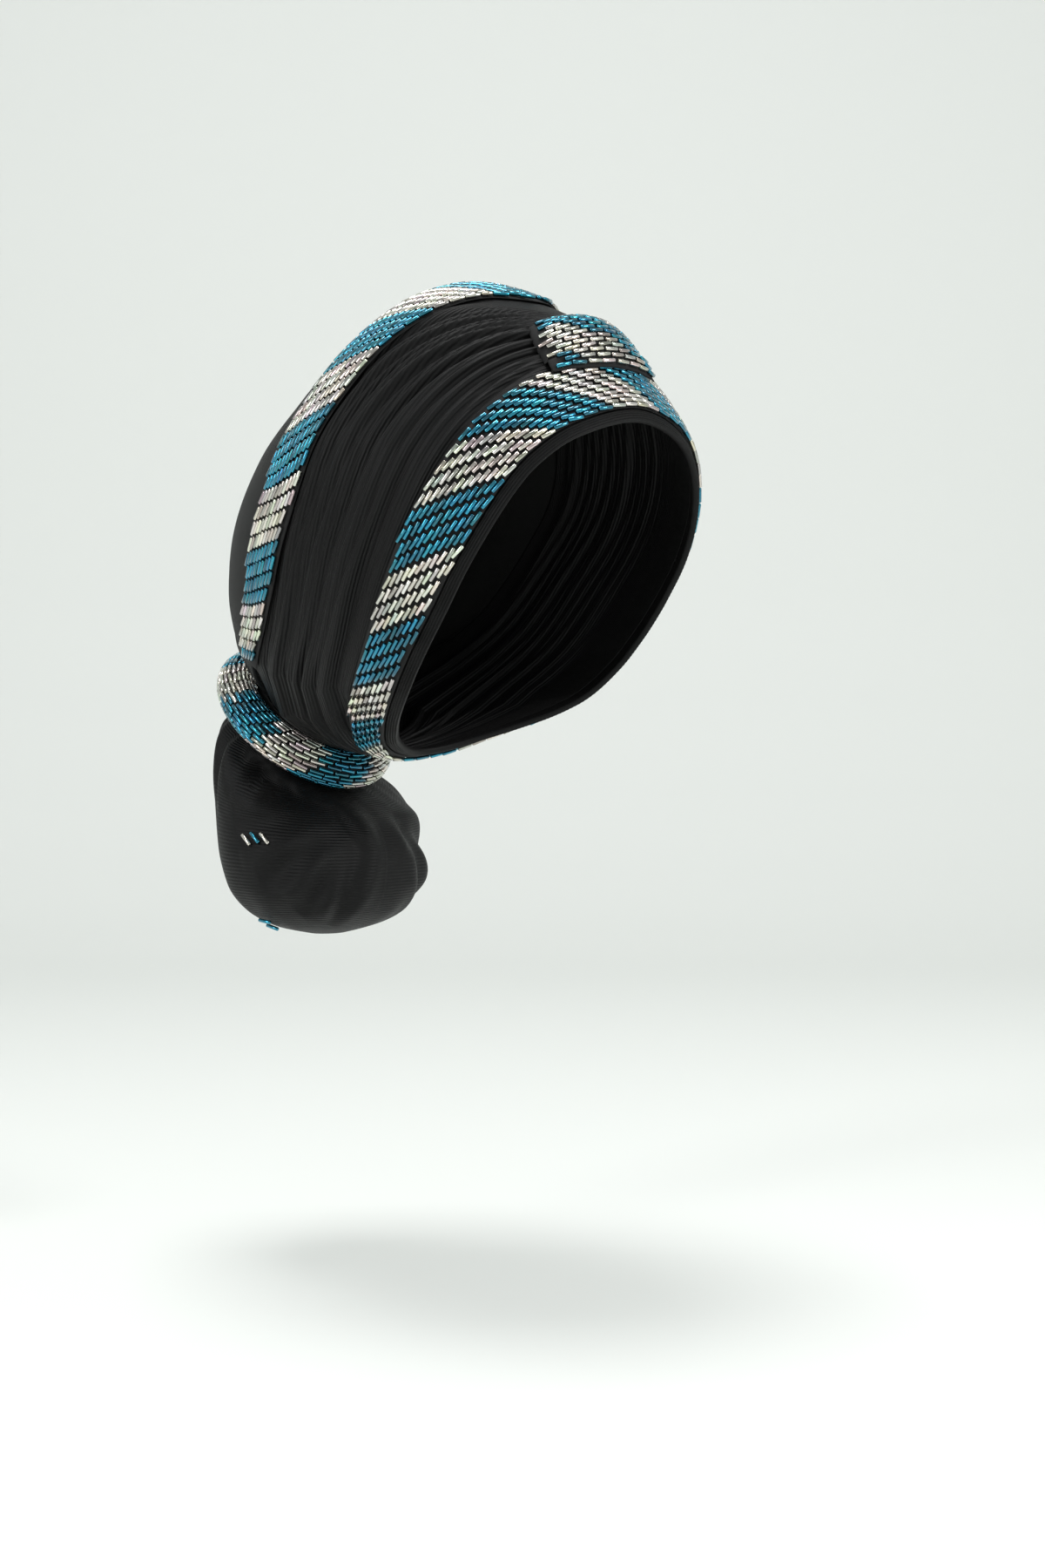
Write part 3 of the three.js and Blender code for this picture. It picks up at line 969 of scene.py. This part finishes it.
@dataclass
class Knot:
    """Raised beaded keeper over the gathered drape."""

    flat: tuple = (0.06, 0.03)

    def surface(self, share: np.ndarray, pitch: np.ndarray, drop: float) -> np.ndarray:
        """The hood's face.

        Args:
            share: -1 to 1 across the hood.
            pitch: degrees from straight up towards the face.
            drop: depth under the outer face.

        Returns:
            Points.
        """
        half = through(KNOT, 1, pitch)
        rise = through(KNOT, 2, pitch)
        arch = np.clip(1 - share**2, 0, 1) ** 0.6
        foot = 2.3 + np.where(pitch > 56, 2.8, 0)
        lean = np.radians(pitch)
        up = np.stack([0 * lean, -np.sin(lean), np.cos(lean)], -1)
        spot = on_skull(up, 0.0)
        spot[..., 0] += share * half + KNOT_SHIFT
        return on_skull(spot - CENTRE, foot + np.maximum(rise - foot, 0) * arch - drop)

    def build(self, finishes: Finishes) -> None:
        """Makes the knot.

        Args:
            finishes: the materials.
        """
        u, v = np.meshgrid(np.linspace(-1, 1, 61), np.linspace(41.5, 60, 41), indexing="ij")
        flat = np.stack([u * 30, v * 1.5], -1)
        hood = walled(self.surface(u, v, 1.5), self.surface(u, v, 2.2), flat, False)
        backing = make_object("knot_backing", hood, finishes.backing)
        rng = np.random.default_rng(21)
        rows = np.arange(13)
        k, r = np.meshgrid(np.arange(-6, 7), rows, indexing="ij")
        k, r = k.ravel(), r.ravel()
        pitch = 42.4 + r * 1.38
        half = through(KNOT, 1, pitch)
        reach = k * 7.5 + (r * 2.5) % 7.5 - 3.7 + rng.normal(0, 0.2, len(k))
        share = reach / half
        keep = np.abs(share) < 0.93
        pitch, share, half, k, r = pitch[keep], share[keep], half[keep], k[keep], r[keep]
        centre = self.surface(share, pitch, BEAD_RADIUS - 0.1)
        step = 1.0 / half
        along = unit(self.surface(np.clip(share + step, -1, 1), pitch, 0)
                     - self.surface(np.clip(share - step, -1, 1), pitch, 0))
        across = unit(self.surface(share, pitch + 0.5, 0) - self.surface(share, pitch - 0.5, 0))
        up = unit(np.cross(along, across))
        up *= np.sign((up * (centre - CENTRE)).sum(-1, keepdims=True))
        along = unit(along + across * rng.normal(0, 0.05, (len(along), 1)))
        diagonal = (pitch - 51) * 1.57 - 0.5 * share * half
        blue = (diagonal > 20) | ((diagonal > -12) & (diagonal < 2))
        shape = tubes(centre, along, up, tints(blue, rng), np.full(len(centre), BEAD_LENGTH))
        beads = make_object("knot_beads", shape, finishes.beads)
        settle(backing, "centre_knot")
        settle(beads, "centre_knot")


@dataclass
class Ring:
    """Fat roll at the nape, covered with tubes that lie along it in brickwork."""

    columns: int = 25
    stripes: int = 10

    def place(self, turn: np.ndarray, angle: np.ndarray, radius: float) -> np.ndarray:
        """A point of the roll.

        Args:
            turn: degrees round the ring.
            angle: radians round the roll, 0 outwards.
            radius: the roll's radius.

        Returns:
            Points.
        """
        middle = round_ring(turn, RING_WIDE, RING_DEEP, 0)
        outward = unit(round_ring(turn, RING_WIDE + 1, RING_DEEP + 1, 0) - middle)
        spoke = outward * np.cos(angle)[..., None] + RING_AXIS * np.sin(angle)[..., None]
        return middle + spoke * radius

    def build(self, finishes: Finishes) -> None:
        """Makes the ring.

        Args:
            finishes: the materials.
        """
        t, a = np.meshgrid(np.arange(160) * 2.25, np.arange(32) * np.pi / 16, indexing="ij")
        core = self.place(t, a, ROLL - 1.3)
        i, j = np.meshgrid(np.arange(160), np.arange(32), indexing="ij")
        i, j = i.ravel(), j.ravel()
        n, m = (i + 1) % 160, (j + 1) % 32
        quads = np.stack([i * 32 + j, n * 32 + j, n * 32 + m, i * 32 + m], 1)
        flat = np.stack([t * 0.6, a * 8], -1).reshape(-1, 2)
        roll = make_object("ring_core", facing_out(Shape(core.reshape(-1, 3), quads, flat)), finishes.backing)
        rng = np.random.default_rng(31)
        fine = np.linspace(0, 360, 721)
        parts = []
        for column in range(self.columns):
            angle = 2 * np.pi * column / self.columns
            line = self.place(fine, np.full_like(fine, angle), ROLL)
            length = np.concatenate([[0], np.cumsum(np.linalg.norm(np.diff(line, axis=0), axis=1))])
            count = int(length[-1] / 7.5)
            run = (np.arange(count) + 0.5 * (column % 2) + rng.normal(0, 0.03, count)) * length[-1] / count
            turn = np.interp(run % length[-1], length, fine)
            parts.append(np.stack([turn, np.full(count, angle) + rng.normal(0, 0.01, count)], 1))
        turn, angle = np.vstack(parts).T
        centre = self.place(turn, angle, ROLL - 0.65)
        along = unit(self.place(turn + 1, angle, ROLL) - self.place(turn - 1, angle, ROLL))
        up = unit(centre - round_ring(turn, RING_WIDE, RING_DEEP, 0))
        along = unit(along + np.cross(up, along) * rng.normal(0, 0.05, (len(turn), 1)))
        lean = 14 * np.sin(angle + 0.6)
        blue = np.floor((turn + lean - 7) / (360 / self.stripes)).astype(int) % 2 == 0
        shape = tubes(centre, along, up, tints(blue, rng), np.full(len(centre), BEAD_LENGTH))
        beads = make_object("ring_beads", shape, finishes.beads)
        settle(roll, "nape_ring")
        settle(beads, "nape_ring")


@dataclass
class Pouch:
    """Hollow bag of jersey below the ring, creased where it sags from the neck."""

    flat: tuple = (0.3, 0.12)

    def place(self, down: np.ndarray, turn: np.ndarray, inset: np.ndarray | float) -> np.ndarray:
        """A point of the bag.

        Args:
            down: 0 to 1 from the neck to the bottom.
            turn: degrees, 0 at the front, 90 at the wearer's right.
            inset: depth under the outer face.

        Returns:
            Points.
        """
        table = np.hstack([np.linspace(0, 1, len(POUCH))[:, None], POUCH])
        back, up, wide, deep, slope = (through(table, k, down) for k in range(1, 6))
        lean, t = np.radians(slope), np.radians(turn)
        wide, deep = np.maximum(wide - inset, 0.5), np.maximum(deep - inset, 0.5)
        fore = -deep * np.cos(t)
        return np.stack([-wide * np.sin(t), back + fore * np.cos(lean), up + fore * np.sin(lean)], -1)

    def creases(self, down: np.ndarray, turn: np.ndarray) -> np.ndarray:
        """Depth of the bag's creases and of the scallops of its bottom.

        Args:
            down: 0 to 1 from the neck to the bottom.
            turn: degrees.

        Returns:
            Inset in millimetres.
        """
        x, y = turn * 0.8, down * 105
        inset = np.zeros_like(x)
        deeper = 1.35
        for crease in CREASES:
            ax, ay = crease.turn * 0.8, crease.down * 105
            bx, by = crease.to_turn * 0.8 - ax, crease.to_down * 105 - ay
            size = math.hypot(bx, by)
            shift = np.where(x - ax > 144, -288, np.where(x - ax < -144, 288, 0))
            px, py = x - ax + shift, y - ay
            on = np.clip((px * bx + py * by) / size**2, 0, 1)
            off = np.hypot(px - on * bx, py - on * by)
            fade = np.sin(np.pi * (0.15 + 0.85 * on)) ** 0.6
            soft = np.exp(-((off / crease.width) ** 2)) - 0.35 * np.exp(-(((off - 2 * crease.width) / crease.width) ** 2))
            inset += deeper * crease.depth * soft * fade
        scallop = 0.9 * np.cos(np.radians(turn) * 11 + 0.6) * smoothstep(down, 0.6, 0.85) * (1 - down) * 2.6
        neck = 0.6 * np.cos(np.radians(turn) * 24) * smoothstep(down, 0.1, 0.2) * (1 - smoothstep(down, 0.25, 0.5))
        return (inset + scallop + neck) * smoothstep(down, 0.12, 0.26) * (1 - smoothstep(down, 0.9, 1.0))

    def build(self, finishes: Finishes) -> None:
        """Makes the bag: outer and inner faces, joined at the rim and by a small flat at the bottom.

        Args:
            finishes: the materials.
        """
        turns, downs = 210, 110
        turn, down = np.meshgrid(np.arange(turns) * 360 / turns, np.linspace(0, 1, downs), indexing="ij")
        inset = self.creases(down, turn)
        outer = self.place(down, turn, inset)
        inner = self.place(down, turn, inset + CLOTH)
        inner[..., 2] += CLOTH * down
        flat = np.stack([turn * 0.85, down * 110], -1)
        shape = walled(outer, inner, flat, True)
        bag = make_object("pouch", shape, finishes.jersey)
        settle(bag, "tail_pouch")


@dataclass
class Accents:
    """Loose tubes sewn to the pouch."""

    def build(self, finishes: Finishes) -> None:
        """Makes the tubes in place of their nodes.

        Args:
            finishes: the materials.
        """
        for number in range(1, 6):
            node = "pouch_bead_%d" % number
            box_low, box_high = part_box(node)
            points = np.array([v.co for v in bpy.data.objects[node].data.vertices]) / MM
            centre = points.mean(0)
            axis = np.linalg.svd(points - centre, full_matrices=False)[2][0]
            up = unit(centre - np.array([0, 94, centre[2]]))
            tone = Tone.SILVER if number in (1, 3) else Tone.BLUE
            tint = np.array([tone.value])
            shape = tubes(centre[None], axis[None], up[None], tint, np.array([BEAD_LENGTH]))
            tube = make_object("glass_tube_%d" % number, shape, finishes.beads)
            settle(tube, node)
            LOG.info("%s spans %.1f mm", node, (box_high - box_low).length / MM)


# ---------------------------------------------------------------- stage


@dataclass
class Studio:
    """Pale floor and wall, soft lights and the camera."""

    floor_height: float = -432.0
    camera_place: tuple = (-784.1, -765.2, -168.3)
    camera_turn: float = 46.0
    lens: float = 58.0

    def floor(self) -> None:
        """A floor that curves up into a wall."""
        run = np.linspace(0, 1, 61)
        bend = 500.0
        angle = np.clip((run - 0.45) / 0.1, 0, 1) * np.pi / 2
        level = np.minimum(run / 0.45, 1) * 3200 - 1900 + bend * np.sin(angle)
        height = self.floor_height + bend * (1 - np.cos(angle)) + np.maximum(run - 0.55, 0) / 0.45 * 2800
        away = math.radians(self.camera_turn)
        forward = np.array([math.sin(away), math.cos(away), 0])
        right = np.array([math.cos(away), -math.sin(away), 0])
        grid = forward * level[:, None, None] + right * np.linspace(-2800, 2800, 9)[None, :, None]
        grid[..., 2] = height[:, None]
        i, j = np.meshgrid(np.arange(60), np.arange(8), indexing="ij")
        i, j = i.ravel(), j.ravel()
        quads = np.stack([i * 9 + j, i * 9 + j + 1, (i + 1) * 9 + j + 1, (i + 1) * 9 + j], 1)
        shape = Shape(grid.reshape(-1, 3), quads, grid.reshape(-1, 3)[:, :2])
        pale = PlainFinish("pale_floor", (0.80, 0.815, 0.795, 1), 0.9).make()
        make_object("floor", shape, pale)

    def light(self, name: str, place: tuple, size: tuple, power: float) -> None:
        """A soft panel that faces the turban.

        Args:
            name: light name.
            place: its middle, in metres.
            size: its width and height, in metres.
            power: watts.
        """
        data = bpy.data.lights.new(name, "AREA")
        data.shape = "RECTANGLE"
        data.size, data.size_y = size
        data.energy = power
        made = bpy.data.objects.new(name, data)
        made.location = place
        aim = Vector((0, 0.02, -0.12)) - Vector(place)
        made.rotation_euler = aim.to_track_quat("-Z", "Y").to_euler()
        bpy.context.collection.objects.link(made)

    def camera(self) -> None:
        """The camera, a little below the turban's middle."""
        data = bpy.data.cameras.new("camera")
        data.lens = self.lens
        data.sensor_width = 36.0
        made = bpy.data.objects.new("camera", data)
        bpy.context.collection.objects.link(made)
        turn = math.radians(self.camera_turn)
        ahead = Vector((math.sin(turn), math.cos(turn), 0))
        right = Vector((math.cos(turn), -math.sin(turn), 0))
        yaw, pitch = math.radians(0.879), math.radians(2.231)
        ahead = ahead * math.cos(yaw) + right * math.sin(yaw)
        ahead = ahead * math.cos(pitch) - Vector((0, 0, 1)) * math.sin(pitch)
        right = ahead.cross(Vector((0, 0, 1))).normalized()
        up = right.cross(ahead)
        place = Vector(self.camera_place) * MM
        made.matrix_world = Matrix.Translation(place) @ Matrix((right, up, -ahead)).transposed().to_4x4()
        data.clip_end = 100
        bpy.context.scene.camera = made

    def build(self) -> None:
        """Makes the stage."""
        self.floor()
        self.light("key", (0.35, -1.5, 0.75), (0.55, 0.55), 16)
        self.light("left", (-1.7, 0.2, 0.5), (0.4, 1.2), 12)
        self.light("top", (-0.1, 0.1, 1.5), (0.6, 0.6), 14)
        self.camera()
        world = bpy.data.worlds.new("studio")
        world.use_nodes = True
        sky = world.node_tree.nodes["Background"]
        sky.inputs["Color"].default_value = (0.93, 0.97, 0.95, 1)
        sky.inputs["Strength"].default_value = 0.57
        bpy.context.scene.world = world
        bpy.context.scene.view_settings.view_transform = "Standard"


def main() -> None:
    """Builds every piece in order."""
    logging.basicConfig(level=logging.INFO)
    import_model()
    finishes = Finishes(
        jersey=JerseyFinish().make(),
        ribbed=JerseyFinish(name="ribbed_edge", roughness=0.6, sheen=0.01, rib=1.1, bump=0.2).make(),
        beads=BeadFinish().make(),
        backing=PlainFinish("black_backing", (0.003, 0.003, 0.0032, 1), 0.85).make(),
    )
    Drape().build(finishes)
    Cap().build(finishes)
    BeadedBand("face", "face_band", FACE_PATH, -3.66, 7.6, 2.7, (0.023, 0.56), 11).build(finishes)
    BeadedBand("crown", "crown_strap", CROWN_PATH, -2.13, 7.3, 1.8, (0.024, 0.42), 12).build(finishes)
    Trim().build(finishes)
    Knot().build(finishes)
    Ring().build(finishes)
    Pouch().build(finishes)
    Accents().build(finishes)
    Studio().build()


if __name__ == "__main__":
    main()
